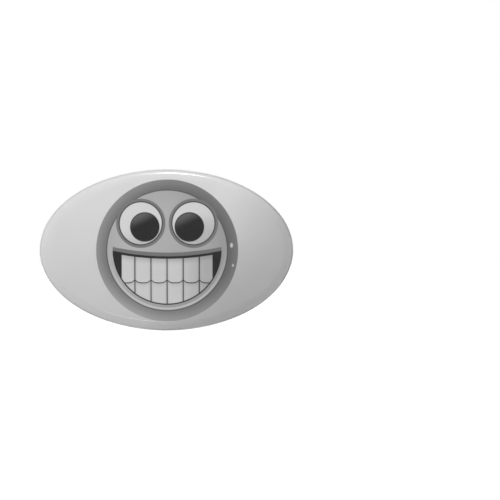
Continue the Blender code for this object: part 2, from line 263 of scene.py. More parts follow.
class Number:
    """A number in a shader graph. Arithmetic on it adds Math nodes."""

    def __init__(self, graph, socket):
        self.graph = graph
        self.socket = socket

    def math(self, operation, *others, clamp=False):
        node = self.graph.nodes.new("ShaderNodeMath")
        node.operation = operation
        node.use_clamp = clamp
        for socket, value in zip(node.inputs, (self, *others)):
            self.graph.feed(socket, value)
        return Number(self.graph, node.outputs[0])

    def __add__(self, other):
        return self.math("ADD", other)

    def __radd__(self, other):
        return self.math("ADD", other)

    def __sub__(self, other):
        return self.math("SUBTRACT", other)

    def __rsub__(self, other):
        return self.math("MULTIPLY", -1.0) + other

    def __mul__(self, other):
        return self.math("MULTIPLY", other)

    def __rmul__(self, other):
        return self.math("MULTIPLY", other)

    def __truediv__(self, other):
        return self.math("DIVIDE", other)

    def __abs__(self):
        return self.math("ABSOLUTE")

    def root(self):
        return self.math("SQRT")

    def least(self, other):
        return self.math("MINIMUM", other)

    def most(self, other):
        return self.math("MAXIMUM", other)

    def power(self, exponent):
        return self.math("POWER", exponent)

    def ramp(self, low, high, at_low=0.0, at_high=1.0):
        """A smooth step from at_low to at_high as the number goes from low to high."""
        node = self.graph.nodes.new("ShaderNodeMapRange")
        node.interpolation_type = "SMOOTHSTEP"
        for name, value in zip(
                ("Value", "From Min", "From Max", "To Min", "To Max"), (self, low, high, at_low, at_high)):
            self.graph.feed(node.inputs[name], value)
        return Number(self.graph, node.outputs[0])


class Graph:
    """A material's or the world's nodes, with short calls for what the looks below need."""

    def __init__(self, owner, output):
        owner.use_nodes = True
        self.nodes = owner.node_tree.nodes
        self.links = owner.node_tree.links
        self.nodes.clear()
        self.output = self.nodes.new(output)
        self.place = self.nodes.new("ShaderNodeTexCoord")

    def feed(self, socket, value):
        if isinstance(value, Number):
            value = value.socket
        if isinstance(value, bpy.types.NodeSocket):
            self.links.new(value, socket)
        else:
            socket.default_value = value

    def node(self, kind, inputs, output=0, **settings):
        made = self.nodes.new(kind)
        for name, value in settings.items():
            setattr(made, name, value)
        for name, value in inputs.items():
            self.feed(made.inputs[name], value)
        return made.outputs[output]

    def axes(self, source, scale=1.0):
        """The X, Y and Z of a coordinate output, as Numbers."""
        split = self.nodes.new("ShaderNodeSeparateXYZ")
        self.links.new(self.place.outputs[source], split.inputs[0])
        return [Number(self, socket) * scale for socket in split.outputs]

    def stretched(self, factors):
        """Object coordinates scaled by factors, one for each axis."""
        return self.node(
            "ShaderNodeMapping", {"Vector": self.place.outputs["Object"], "Scale": factors})

    def noise(self, size, detail=2.0, stretch=(1, 1, 1)):
        """Noise from 0 to 1 whose features are about size metres across, times stretch on each axis."""
        factors = [1 / (size * share) for share in stretch]
        socket = self.node(
            "ShaderNodeTexNoise", {"Vector": self.stretched(factors), "Scale": 1.0, "Detail": detail})
        return Number(self, socket)

    def grey(self, tone):
        return self.node("ShaderNodeCombineColor", {"Red": tone, "Green": tone, "Blue": tone})

    def bump(self, height, distance, strength=1.0):
        return self.node(
            "ShaderNodeBump", {"Height": height, "Distance": distance, "Strength": strength})

    def finish(self, surface):
        self.links.new(surface, self.output.inputs["Surface"])


def material_graph(name):
    material = bpy.data.materials.new(name)
    return material, Graph(material, "ShaderNodeOutputMaterial")


def level(value):
    """The linear tone of a display grey from 0 to 255."""
    share = value / 255
    return share / 12.92 if share < 0.04045 else ((share + 0.055) / 1.055) ** 2.4


# ---------------------------------------------------------------- the printed picture

# The picture, in millimetres from the badge's middle: a plain round grinning face
HEAD = (0.3, -0.1, 19.4)
RING_WIDTH = 2.9
EYES = (-6.9, 7.5)
EYE_HEIGHT = 7.3
EYE_RADIUS = 5.9
PUPIL_SHIFT_X = 1.1
PUPIL_SHIFT_Z = -1.0
PUPIL_RADIUS = 3.9
LINE_HALF_WIDTH = 0.14
MOUTH_RADIUS = 14.9
MOUTH_TOP = -1.7
MOUTH_SMILE = 0.007
LIP_HEIGHT = 1.0
TEETH_MIDDLE = -9.0
TOOTH_WIDTH = 4.4
TEETH_HALF_WIDTH = 12.4
INK_EDGE = 0.10
# Painted highlights on the head's rim: middle x, middle z and size, in millimetres
PAINTED_RIM_HIGHLIGHTS = ((17.9, 1.3, 1.0), (18.3, -4.2, 0.6))

FIELD_TONE = level(213)
SKIN_TONE = level(180)
RING_TONE = level(128)
INK_TONE = level(34)
LINE_TONE = level(60)
EYE_TONE = level(216)
TOOTH_TONE = level(209)


def paint(tone, colour, mask):
    return tone + (colour - tone) * mask


def inside(distance):
    """1 where a signed distance is below 0, with a soft printed edge."""
    return distance.ramp(-INK_EDGE, INK_EDGE, 1.0, 0.0)


def line(distance, half_width=LINE_HALF_WIDTH):
    """1 along the edge of a shape given by its signed distance."""
    return inside(abs(distance) - half_width)


def disc(x, z, middle_x, middle_z, radius):
    across = x - middle_x
    up = z - middle_z
    return (across * across + up * up).root() - radius


def paint_field(x, z):
    """The light ground of the print: printed grey with painted shade, as if lit from the upper left: lighter
    at the top, darker down and to the lower right.
    """
    # Painted shade: lighter at the top, darker down and towards the lower right
    painted_light_fall = z.ramp(-24.0, 24.0, 0.90, 1.08)
    shade = (x * 0.75 - z * 0.55).ramp(2.0, 24.0, 1.0, 0.74)
    return painted_light_fall * shade * FIELD_TONE


def paint_head(tone, x, z):
    edge = disc(x, z, *HEAD)
    across = (x - z * 0.3).ramp(-HEAD[2], HEAD[2], 1.10, 0.84)
    hollow = (edge + RING_WIDTH).ramp(-6.0, 0.0, 1.0, 0.88)
    tone = paint(tone, SKIN_TONE * across * hollow, inside(edge))
    ring = inside(abs(edge + RING_WIDTH / 2) - RING_WIDTH / 2)
    roll = (edge + RING_WIDTH).ramp(0.0, RING_WIDTH, 0.80, 1.16)
    low_light = z.ramp(-HEAD[2], -4.0, 1.5, 1.0)
    side = x.ramp(-HEAD[2], HEAD[2], 1.12, 0.78)
    tone = paint(tone, RING_TONE * roll * low_light * side, ring)
    gleam = line(edge + RING_WIDTH + 0.55, 0.30) * z.ramp(-16.0, 2.0, 0.75, 0.0)
    tone = paint(tone, TOOTH_TONE, gleam)
    return paint(tone, LINE_TONE, line(edge + RING_WIDTH) * 0.75)


def paint_rim_highlights(tone, x, z):
    """Two painted highlights: small soft light spots on the head's rim, at the right."""
    for middle_x, middle_z, size in PAINTED_RIM_HIGHLIGHTS:
        distance = disc((x - middle_x) * 1.7 + middle_x, z, middle_x, middle_z, 0.0)
        tone = paint(tone, EYE_TONE, distance.ramp(size * 0.2, size, 0.9, 0.0))
    return tone


def paint_eye(tone, x, z, middle_x):
    edge = disc(x, z, middle_x, EYE_HEIGHT, EYE_RADIUS)
    lower = (z - EYE_HEIGHT - x * 0.25).ramp(-6.0, 2.0, 0.72, 1.0)
    tone = paint(tone, EYE_TONE * lower, inside(edge))
    rim = inside(abs(edge - 0.35) - 0.5)
    tone = paint(tone, RING_TONE * 0.9, rim)
    tone = paint(tone, LINE_TONE, line(edge))
    towards_nose = PUPIL_SHIFT_X if middle_x < 0 else -PUPIL_SHIFT_X
    pupil_x = middle_x + towards_nose
    pupil_z = EYE_HEIGHT + PUPIL_SHIFT_Z
    pupil = disc(x, z, pupil_x, pupil_z, PUPIL_RADIUS)
    gleam = (z - pupil_z - (x - pupil_x) * 0.45).ramp(0.6, PUPIL_RADIUS * 1.05, 1.0, 7.5)
    tone = paint(tone, INK_TONE * gleam, inside(pupil))
    return paint(tone, LINE_TONE * 0.6, line(pupil))


def paint_mouth(tone, x, z):
    across = x - HEAD[0]
    top = z - across * across * MOUTH_SMILE - MOUTH_TOP
    round_edge = disc(x, z, HEAD[0], HEAD[1], MOUTH_RADIUS)
    mouth = round_edge.most(top)
    lip = round_edge.most(top - LIP_HEIGHT).most(-1 * top)
    tone = paint(tone, RING_TONE * 0.86, inside(lip))
    tone = paint(tone, INK_TONE, inside(mouth))
    teeth = (round_edge + 0.35).most(top + 0.7).most(abs(across) - TEETH_HALF_WIDTH)
    column = across.math("PINGPONG", TOOTH_WIDTH / 2)
    seam = z - TEETH_MIDDLE - (1.0 - column / (TOOTH_WIDTH / 2)).power(3.0) * 0.9
    side_shade = x.ramp(2.0, TEETH_HALF_WIDTH, 1.0, 0.68) * column.ramp(0.0, 0.75, 0.82, 1.0)
    gum_shade = top.ramp(-2.6, -0.6, 1.0, 0.74)
    root_shade = seam.ramp(-1.6, 0.0, 1.0, 0.86)
    below = inside(seam)
    shade = side_shade * gum_shade * (root_shade * below + (1 - below))
    tone = paint(tone, TOOTH_TONE * shade, inside(teeth))
    lines = (abs(seam) - LINE_HALF_WIDTH).least(column - LINE_HALF_WIDTH)
    return paint(tone, INK_TONE, inside(lines.most(teeth)))


def print_material():
    material, graph = material_graph("printed_paper")
    x, _, z = graph.axes("Object", 1 / MM)
    tone = paint_rim_highlights(paint_head(paint_field(x, z), x, z), x, z)
    for middle_x in EYES:
        tone = paint_eye(tone, x, z, middle_x)
    tone = paint_mouth(tone, x, z)
    fibre = graph.noise(0.25 * MM, 3.0).ramp(0.25, 0.75, 0.975, 1.02)
    cloud = graph.noise(9 * MM, 2.0).ramp(0.3, 0.7, 0.985, 1.01)
    # Painted shade: the print is darkened in the tucks of the folded hem
    tone = tone * fibre * cloud * (1 - tuck_shade(graph) * 0.6)
    shader = graph.node("ShaderNodeBsdfPrincipled", {
        "Base Color": graph.grey(tone),
        "Roughness": graph.noise(0.4 * MM).ramp(0.2, 0.8, 0.42, 0.55),
        "Normal": graph.bump(graph.noise(0.18 * MM, 3.0), 0.004 * MM),
    })
    graph.finish(shader)
    return material


# ---------------------------------------------------------------- the other materials

def on_hem(graph):
    """1 on the folded band behind the badge, 0 on its front and side."""
    _, y, _ = graph.axes("Object", 1 / MM)
    return y.ramp(-1.1, -0.25)


def tuck_shade(graph):
    """How deep in a tuck the folded band is, with the tuck's edges roughened: the mask for the shade painted
    into the tucks.
    """
    tuck = Number(graph, graph.node("ShaderNodeAttribute", {}, "Fac", attribute_name="tuck"))
    return (tuck + (graph.noise(0.3 * MM, 3.0) - 0.5) * 0.3 * tuck).ramp(0.15, 0.75)


def film_material():
    """The film's outer face: clear, with a gloss that grows towards grazing angles."""
    material, graph = material_graph("film_gloss")
    ripple = graph.noise(3.5 * MM, 2.0)
    orange_peel = graph.noise(0.5 * MM, 1.0)
    gathers = graph.noise(0.7 * MM, 2.0) * on_hem(graph)
    bump = graph.bump(ripple + orange_peel * 0.06 + gathers * 0.5, 0.012 * MM)
    _, y, _ = graph.axes("Object", 1 / MM)
    rim_haze = y.ramp(*RIM_HAZE_DEPTHS, 0.0, RIM_HAZE)
    haze = graph.noise(2.0 * MM, 4.0).ramp(0.35, 0.8, *FILM_HAZE) + rim_haze
    gloss = graph.node("ShaderNodeBsdfGlossy", {"Roughness": haze, "Normal": bump})
    clear = graph.node("ShaderNodeBsdfTransparent", {})
    fresnel = Number(graph, graph.node("ShaderNodeFresnel", {"IOR": FILM_IOR, "Normal": bump}))
    from_inside = Number(graph, graph.node("ShaderNodeNewGeometry", {}, "Backfacing"))
    strength = fresnel.least(FILM_GLOSS_LIMIT) * (1 - from_inside)
    mix = graph.node("ShaderNodeMixShader", {0: strength, 1: clear, 2: gloss})
    graph.finish(mix)
    return material


def film_inside_material():
    material, graph = material_graph("film_inside")
    graph.finish(graph.node("ShaderNodeBsdfTransparent", {}))
    return material


def metal_material(name, tone, roughness, grain=(1, 1, 1), grain_size=0.3 * MM, dirt=0.15, bump=0.002 * MM):
    material, graph = material_graph(name)
    scratches = graph.noise(grain_size, 4.0, grain)
    stains = graph.noise(3.0 * MM, 3.0)
    colour = graph.grey(scratches.ramp(0.2, 0.8, tone * (1 - dirt), tone) * stains.ramp(0.3, 0.7, 0.93, 1.0))
    rough = scratches.ramp(0.25, 0.8, roughness * 0.75, roughness * 1.35)
    shader = graph.node("ShaderNodeBsdfPrincipled", {
        "Base Color": colour,
        "Metallic": 1.0,
        "Roughness": rough,
        "Normal": graph.bump(scratches, bump),
    })
    graph.finish(shader)
    return material


def oval_share(x, z, half_width, half_height):
    """0 in the badge's middle, 1 on the oval, more outside it."""
    across = x / half_width
    up = z / half_height
    return across * across + up * up


def tinplate_material():
    """Bright drawn tinplate: mirror-like on the slope and beads, with rolling grain along X on the floor."""
    material, graph = material_graph("tinplate")
    x, y, z = graph.axes("Object")
    floor_share = oval_share(x, z, FLOOR_HALF_WIDTH, FLOOR_HALF_HEIGHT)
    on_floor = floor_share.ramp(0.90, 0.95, 1.0, 0.0)
    by_ridge = floor_share.ramp(0.99, 1.03, 1.0, 0.0)
    height_there = (y - FLOOR_Y) / MM
    on_ridge = by_ridge * height_there.ramp(0.10, 0.20)
    # Painted shade at the foot of the ridge round the floor
    ridge_foot_shade = by_ridge * height_there.ramp(0.005, 0.02) * height_there.ramp(0.07, 0.13, 1.0, 0.0)
    past_slope = oval_share(x, z, HALF_WIDTH - BEADS[0][0], HALF_HEIGHT - BEADS[0][0]).ramp(1.0, 1.02)
    # Painted shade in the groove between the beads
    groove_shade = past_slope * (y / MM).ramp(-0.34, -0.16, 1.0, 0.0)
    grain = graph.noise(0.10 * MM, 4.0, (22, 1, 1))
    mottle = graph.noise(2.2 * MM, 3.0)
    streaks = grain.ramp(0.3, 0.75, 0.0, 1.0)
    floor_tone = streaks.ramp(0.0, 1.0, *FLOOR_TONES) * graph.noise(7.0 * MM).ramp(0.3, 0.7, 0.92, 1.05)
    # Painted sheen: past the slope's top the tin is brighter
    bright_tone = paint(mottle.ramp(0.3, 0.7, *SLOPE_TONES), BEAD_SHEEN_TONE, past_slope)
    tone = paint(bright_tone, floor_tone, on_floor)
    # Painted highlight: a pale, nearly matt line along the ridge's top
    tone = paint(tone, RIDGE_HIGHLIGHT_TONE, on_ridge)
    # Painted shade: the grooves and the ridge's foot are darkened
    tone = paint(tone, GROOVE_SHADE_TONE, ridge_foot_shade.most(groove_shade))
    floor_rough = streaks.ramp(0.0, 1.0, *FLOOR_ROUGHNESS)
    slope_rough = mottle.ramp(0.3, 0.75, *SLOPE_ROUGHNESS)
    speckle = graph.noise(0.3 * MM, 3.0)
    height = paint(mottle * 0.8 + speckle * 0.35, grain, on_floor)
    shader = graph.node("ShaderNodeBsdfPrincipled", {
        "Base Color": graph.grey(tone),
        "Metallic": paint(paint(1.0 + x * 0, FLOOR_METAL, on_floor), RIDGE_METAL, on_ridge),
        "Roughness": paint(slope_rough, floor_rough, on_floor.most(on_ridge)),
        "Normal": graph.bump(height, 0.0015 * MM),
    })
    graph.finish(shader)
    return material


# ---------------------------------------------------------------- mesh helpers

def mesh_object(name, bm, place=(0, 0, 0)):
    mesh = bpy.data.meshes.new(name)
    bm.to_mesh(mesh)
    bm.free()
    obj = bpy.data.objects.new(name, mesh)
    obj.location = place
    bpy.context.scene.collection.objects.link(obj)
    return obj


def smooth(obj, degrees=30):
    obj.data.shade_smooth()
    obj.data.set_sharp_from_angle(angle=math.radians(degrees))


def apply_modifiers(obj):
    evaluated = obj.evaluated_get(bpy.context.evaluated_depsgraph_get())
    mesh = bpy.data.meshes.new_from_object(evaluated)
    obj.modifiers.clear()
    obj.data = mesh


def cut(obj, cutters, operation="DIFFERENCE"):
    """Boolean each cutter with obj, apply it and remove the cutter."""
    for cutter in cutters:
        modifier = obj.modifiers.new("cut", "BOOLEAN")
        modifier.operation = operation
        modifier.object = cutter
        modifier.solver = "EXACT"
        bpy.context.view_layer.update()
        apply_modifiers(obj)
        bpy.data.objects.remove(cutter, do_unlink=True)


def bevel(obj, width, segments=3, degrees=35):
    modifier = obj.modifiers.new("bevel", "BEVEL")
    modifier.width = width
    modifier.segments = segments
    modifier.limit_method = "ANGLE"
    modifier.angle_limit = math.radians(degrees)
    modifier.harden_normals = True
    obj.data.shade_smooth()
    bpy.context.view_layer.update()
    apply_modifiers(obj)
    smooth(obj, 40)


def stands_for(obj, node, body, slot, *materials):
    obj.data.materials.clear()
    for material in materials:
        obj.data.materials.append(material)
    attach(obj, body)
    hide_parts(node)


def cylinder(name, radius, length, place, axis):
    bm = bmesh.new()
    bmesh.ops.create_cone(
        bm, cap_ends=True, segments=ROUND_STEPS, radius1=radius, radius2=radius, depth=length)
    turn = Vector((0, 0, 1)).rotation_difference(Vector(axis)).to_matrix()
    bmesh.ops.rotate(bm, verts=bm.verts, matrix=turn)
    return mesh_object(name, bm, place)


def box(name, size, place):
    bm = bmesh.new()
    bmesh.ops.create_cube(bm, size=1.0)
    bmesh.ops.scale(bm, verts=bm.verts, vec=size)
    return mesh_object(name, bm, place)


def prism(name, outline, thickness, basis, place):
    """An outline extruded about its plane. basis gives the world ways of its X, its Y and its normal."""
    bm = bmesh.new()
    way_x, way_y, normal = (Vector(way) for way in basis)
    origin = Vector(place)
    lower = []
    upper = []
    for x, y in outline:
        point = origin + way_x * x + way_y * y
        lower.append(bm.verts.new(point - normal * thickness / 2))
        upper.append(bm.verts.new(point + normal * thickness / 2))
    bm.faces.new(lower[::-1])
    bm.faces.new(upper)
    count = len(outline)
    for index in range(count):
        after = (index + 1) % count
        bm.faces.new((lower[index], lower[after], upper[after], upper[index]))
    bmesh.ops.recalc_face_normals(bm, faces=bm.faces)
    return mesh_object(name, bm)


def arc(centre_x, centre_y, radius, start, end, steps):
    points = []
    for step in range(steps + 1):
        angle = start + (end - start) * step / steps
        points.append((centre_x + radius * math.cos(angle), centre_y + radius * math.sin(angle)))
    return points


# ---------------------------------------------------------------- film, sheet, shell

def edge_profile():
    """The badge's edge in section, as (inset, y), from the front's shoulder to the tucked hem."""
    points = []
    for step in range(SHOULDER_STEPS + 1):
        angle = SHOULDER_START + (math.pi / 2 - SHOULDER_START) * step / SHOULDER_STEPS
        inset = SHOULDER_INSET * (1 - math.sin(angle))
        points.append(Vector((inset, SIDE_Y - SHOULDER_DEPTH * math.cos(angle))))
    for step in range(1, CURL_STEPS + 1):
        angle = math.pi / 2 * step / CURL_STEPS
        points.append(Vector((CURL_INSET * (1 - math.cos(angle)), SIDE_Y * (1 - math.sin(angle)))))
    for step in range(1, HEM_STEPS + 1):
        angle = HEM_ANGLE * step / HEM_STEPS
        inset = CURL_INSET + HEM_RADIUS * math.sin(angle)
        points.append(Vector((inset, -HEM_RADIUS * (1 - math.cos(angle)))))
    return points


def offset_profile(points, distance):
    """The same line moved to its inner side by distance."""
    moved = []
    last = len(points) - 1
    for index, point in enumerate(points):
        along = (points[min(index + 1, last)] - points[max(index - 1, 0)]).normalized()
        moved.append(point + Vector((along.y, -along.x)) * distance)
    return moved


def layer_face(distance):
    """Rings (half width, half height, y) of the face that lies distance under the outer skin."""
    edge = offset_profile(edge_profile(), distance)
    shoulder_y = edge[0].y
    middle_y = -BADGE_DEPTH + distance
    half_width = HALF_WIDTH - edge[0].x
    half_height = HALF_HEIGHT - edge[0].x
    rings = []
    for step in range(1, DOME_STEPS):
        scale = step / DOME_STEPS
        y = middle_y + (shoulder_y - middle_y) * scale ** 2
        rings.append((half_width * scale, half_height * scale, y))
    for point in edge:
        rings.append((HALF_WIDTH - point.x, HALF_HEIGHT - point.x, point.y))
    return rings, middle_y


def ring_of_verts(bm, half_width, half_height, y):
    ring = []
    for step in range(SEGMENTS):
        angle = 2 * math.pi * step / SEGMENTS
        ring.append(bm.verts.new((half_width * math.cos(angle), y, half_height * math.sin(angle))))
    return ring


def bridge(bm, first, second, slot):
    for step in range(SEGMENTS):
        after = (step + 1) % SEGMENTS
        face = bm.faces.new((first[step], first[after], second[after], second[step]))
        face.material_index = slot


def cap(bm, ring, y, slot):
    middle = bm.verts.new((0, y, 0))
    for step in range(SEGMENTS):
        face = bm.faces.new((middle, ring[step], ring[(step + 1) % SEGMENTS]))
        face.material_index = slot


def sheet_between(name, outer, inner, outer_middle_y, inner_middle_y, join_rings=(), inside_slot=0):
    """A closed sheet between two lists of rings, middle to rim. join_rings are eased along Y."""
    bm = bmesh.new()
    faces = []
    for rings, middle_y, slot in ((outer, outer_middle_y, 0), (inner, inner_middle_y, inside_slot)):
        made = [ring_of_verts(bm, *ring) for ring in rings]
        for first, second in zip(made, made[1:]):
            bridge(bm, first, second, slot)
        cap(bm, made[0], middle_y, slot)
        faces.append(made)
    bridge(bm, faces[0][-1], faces[1][-1], 0)
    bmesh.ops.recalc_face_normals(bm, faces=bm.faces)
    eased = [vert for made in faces for index in join_rings for vert in made[index]]
    for _ in range(EASE_ROUNDS if eased else 0):
        bmesh.ops.smooth_vert(bm, verts=eased, factor=0.5, use_axis_y=True)
    return mesh_object(name, bm)


def pleat(obj, depth):
    """Tucks round the hem, where a flat skin is gathered over the edge, marked in the attribute tuck."""
    tucks = obj.data.attributes.new("tuck", "FLOAT", "POINT")
    for vert, mark in zip(obj.data.vertices, tucks.data):
        place = vert.co
        share = min(max((place.y - SIDE_Y) / -SIDE_Y, 0.0), 1.0) ** 2
        round_x, round_z = Vector((place.x / HALF_WIDTH, place.z / HALF_HEIGHT)).normalized()
        slant = place.y / TUCK_SLANT
        wave = noise.noise(Vector((round_x, round_z, 0)) * TUCKS + Vector((0, 0, slant)))
        fine = noise.noise(Vector((round_x, round_z, 0)) * TUCKS * 2.5 + Vector((0, 0, slant)))
        at_ends = TUCK_AT_SIDES + (1 - TUCK_AT_SIDES) * round_x ** 4
        tuck = max(1 - abs(wave) * TUCK_SHARPNESS, 0.0) * at_ends
        mark.value = tuck * share
        crinkle = min(max(0.5 + fine, 0.0), 1.0)
        sink = depth * share * (TUCK_SHARE * tuck + (1 - TUCK_SHARE) * crinkle)
        out = Vector((round_x / HALF_WIDTH, 0.0, round_z / HALF_HEIGHT)).normalized()
        vert.co = place - out * sink * TUCK_INWARD - Vector((0, sink * TUCK_FORWARD, 0))


def make_layers():
    join_rings = range(DOME_STEPS - 5, DOME_STEPS + 3)
    sheet_inset = FILM_THICKNESS + LAYER_GAP
    shell_inset = sheet_inset + SHEET_THICKNESS + LAYER_GAP
    film_material_pair = (film_material(), film_inside_material())
    layers = (
        ("film_skin", "clear_film", "film", 0.0, FILM_THICKNESS / 2, film_material_pair),
        ("artwork_sheet", "printed_sheet", "print", sheet_inset, SHEET_THICKNESS / 2, (print_material(),)),
        ("domed_shell", "front_shell", "shell_steel", shell_inset, SHELL_THICKNESS,
         (metal_material("shell_tinplate", 0.62, 0.25),)),
    )
    for name, node, slot, distance, thickness, materials in layers:
        outer, outer_middle_y = layer_face(distance)
        inner, inner_middle_y = layer_face(distance + thickness)
        layer = sheet_between(
            name, outer, inner, outer_middle_y, inner_middle_y, join_rings, len(materials) - 1)
        smooth(layer)
        if node in PLEAT_DEPTHS:
            pleat(layer, PLEAT_DEPTHS[node])
        stands_for(layer, node, "root", slot, *materials)


# ---------------------------------------------------------------- the back plate

def smooth_line(points, steps):
    """A Catmull-Rom curve through the points, with steps stretches between each two."""
    line = []
    last = len(points) - 1
    for index in range(last):
        before = points[max(index - 1, 0)]
        start = points[index]
        end = points[index + 1]
        after = points[min(index + 2, last)]
        for step in range(steps):
            t = step / steps
            line.append(tuple(
                0.5 * (2 * b + (c - a) * t + (2 * a - 5 * b + 4 * c - d) * t ** 2
                       + (3 * b - a - 3 * c + d) * t ** 3)
                for a, b, c, d in zip(before, start, end, after)))
    line.append(points[-1])
    return line


def plate_rings(shift):
    top_width = HALF_WIDTH - SLOPE_TOP_INSET
    top_height = HALF_HEIGHT - SLOPE_TOP_INSET
    flat_width = FLOOR_HALF_WIDTH - FLOOR_RIDGE[0][0]
    flat_height = FLOOR_HALF_HEIGHT - FLOOR_RIDGE[0][0]
    rings = [(flat_width * 0.5, flat_height * 0.5, FLOOR_Y)]
    for inset, height in smooth_line(FLOOR_RIDGE, CURVE_STEPS):
        rings.append((FLOOR_HALF_WIDTH - inset, FLOOR_HALF_HEIGHT - inset, FLOOR_Y + height))
    slope_foot_y = FLOOR_Y + FLOOR_RIDGE[-1][1]
    for step in range(1, SLOPE_STEPS + 1):
        share = step / SLOPE_STEPS
        half_width = FLOOR_HALF_WIDTH + (top_width - FLOOR_HALF_WIDTH) * share
        half_height = FLOOR_HALF_HEIGHT + (top_height - FLOOR_HALF_HEIGHT) * share
        y = slope_foot_y + (SLOPE_TOP_Y - slope_foot_y) * share ** SLOPE_POWER
        rings.append((half_width, half_height, y))
    bead_line = smooth_line([(SLOPE_TOP_INSET, SLOPE_TOP_Y)] + list(BEADS), CURVE_STEPS)
    for inset, y in bead_line[1:]:
        rings.append((HALF_WIDTH - inset, HALF_HEIGHT - inset, y))
    return [(half_width, half_height, y + shift) for half_width, half_height, y in rings]


def make_back_plate():
    back = plate_rings(0.0)
    front = plate_rings(-PLATE_THICKNESS)
    plate = sheet_between("dished_back", back, front, FLOOR_Y, FLOOR_Y - PLATE_THICKNESS)
    smooth(plate, 40)
    stands_for(plate, "back_plate", "root", "tinplate", tinplate_material())


# ---------------------------------------------------------------- the pin bar

def make_bar(steel):
    """A flat strip with rounded corners, and two ears folded up at the hinge end."""
    corner = BAR_CORNER
    outline = []
    half = BAR_WIDTH / 2
    corners = (
        (BAR_END_X - corner, half - corner, 0),
        (BAR_START_X + corner, half - corner, 1),
        (BAR_START_X + corner, corner - half, 2),
        (BAR_END_X - corner, corner - half, 3),
    )
    for x, z, quarter in corners:
        outline += arc(x, z, corner, quarter * math.pi / 2, (quarter + 1) * math.pi / 2, 8)
    middle_y = BAR_FRONT_Y + BAR_THICKNESS / 2
    basis = ((1, 0, 0), (0, 0, 1), (0, 1, 0))
    bar = prism("pin_strip", outline, BAR_THICKNESS, basis, (0, middle_y, PIN_Z))
    ears = folded_ears()
    cut(bar, [ears], "UNION")
    axle = cylinder("axle", RIVET_RADIUS + RUNNING_GAP, 3 * BAR_WIDTH, HINGE, (0, 0, 1))
    cut(bar, [axle])
    bevel(bar, PRESSED_BEVEL, 4)
    stands_for(bar, "pin_bar", "root", "pin_steel", steel)


def folded_ears():
    """A channel across the bar, with round bends, trimmed to two round-topped ears."""
    half = BAR_WIDTH / 2
    inner = half - EAR_THICKNESS
    top = HINGE.y + EAR_RADIUS + 0.5 * MM
    floor_y = BAR_BACK_Y
    outline = [(half, top)]
    outline += arc(half - BEND_OUTER, BAR_FRONT_Y + BEND_OUTER, BEND_OUTER, 0, -math.pi / 2, 8)
    outline += arc(-half + BEND_OUTER, BAR_FRONT_Y + BEND_OUTER, BEND_OUTER, -math.pi / 2, -math.pi, 8)
    outline += [(-half, top), (-inner, top)]
    outline += arc(-inner + BEND_INNER, floor_y + BEND_INNER, BEND_INNER, -math.pi, -math.pi / 2, 4)
    outline += arc(inner - BEND_INNER, floor_y + BEND_INNER, BEND_INNER, -math.pi / 2, 0, 4)
    outline.append((inner, top))
    ears = prism("ears", outline, 2 * EAR_RADIUS, ((0, 0, 1), (0, 1, 0), (1, 0, 0)), (HINGE.x, 0, PIN_Z))
    trim = [(HINGE.x + EAR_RADIUS, BAR_FRONT_Y - 1 * MM)]
    trim += arc(HINGE.x, HINGE.y, EAR_RADIUS, 0, math.pi, 32)
    trim.append((HINGE.x - EAR_RADIUS, BAR_FRONT_Y - 1 * MM))
    shape = prism("ear_shape", trim, 3 * BAR_WIDTH, ((1, 0, 0), (0, 1, 0), (0, 0, 1)), (0, 0, PIN_Z))
    cut(ears, [shape], "INTERSECT")
    return ears


# ---------------------------------------------------------------- rivets

def turned(name, profile, place, axis):
    """A solid turned about axis from (radius, height) points, listed top to bottom."""
    bm = bmesh.new()
    rings = []
    for radius, height in profile:
        if radius == 0:
            rings.append([bm.verts.new((0, 0, height))])
            continue
        ring = []
        for step in range(ROUND_STEPS):
            angle = 2 * math.pi * step / ROUND_STEPS
            ring.append(bm.verts.new((radius * math.cos(angle), radius * math.sin(angle), height)))
        rings.append(ring)
    for first, second in zip(rings, rings[1:]):
        for step in range(ROUND_STEPS):
            after = (step + 1) % ROUND_STEPS
            corners = [first[step % len(first)], first[after % len(first)],
                       second[after % len(second)], second[step % len(second)]]
            bm.faces.new(list(dict.fromkeys(corners)))
    bmesh.ops.recalc_face_normals(bm, faces=bm.faces)
    turn = Vector((0, 0, 1)).rotation_difference(Vector(axis)).to_matrix()
    bmesh.ops.rotate(bm, verts=bm.verts, matrix=turn)
    obj = mesh_object(name, bm, place)
    smooth(obj, 45)
    return obj


def crown(head, half_grip):
    """A head's section from near its middle to its edge: flat on top and round at the shoulder."""
    points = []
    for step in range(1, CROWN_STEPS + 1):
        share = math.sin(math.pi / 2 * step / CROWN_STEPS)
        height = CROWN_EDGE + (1 - CROWN_EDGE) * (1 - share ** 4)
        points.append((head * share, half_grip + HEAD_HEIGHT * height))
    return points


def rivet_profile(shank, head, half_grip):
    """A low domed head, and a peened tail with a shallow dimple."""
    profile = [(0.0, half_grip + HEAD_HEIGHT)]
    profile += crown(head, half_grip)
    profile += [(head, half_grip), (shank, half_grip), (shank, -half_grip), (head, -half_grip)]
    for radius, height in reversed(crown(head, half_grip)[3:]):
        profile.append((radius, -height))
    profile.append((0.0, -half_grip - HEAD_HEIGHT * DIMPLE_HEIGHT))
    return profile


def make_rivets(steel):
    low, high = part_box("hinge_rivet")
    half_grip = (high.z - low.z) / 2 - HEAD_HEIGHT
    head = (high.x - low.x) / 2
    rivet = turned("hinge_axle", rivet_profile(RIVET_RADIUS, head, half_grip), HINGE, (0, 0, 1))
    stands_for(rivet, "hinge_rivet", "root", "wire_steel", steel)
    for node in ("bar_rivet_right", "bar_rivet_left"):
        low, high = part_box(node)
        middle = (low + high) / 2
        half_grip = (high.y - low.y) / 2 - HEAD_HEIGHT
        profile = rivet_profile(BAR_RIVET_SHANK, BAR_RIVET_HEAD, half_grip)
        rivet = turned(f"{node}_fine", profile, middle, (0, 1, 0))
        stands_for(rivet, node, "root", "pin_steel", steel)


# ---------------------------------------------------------------- needle

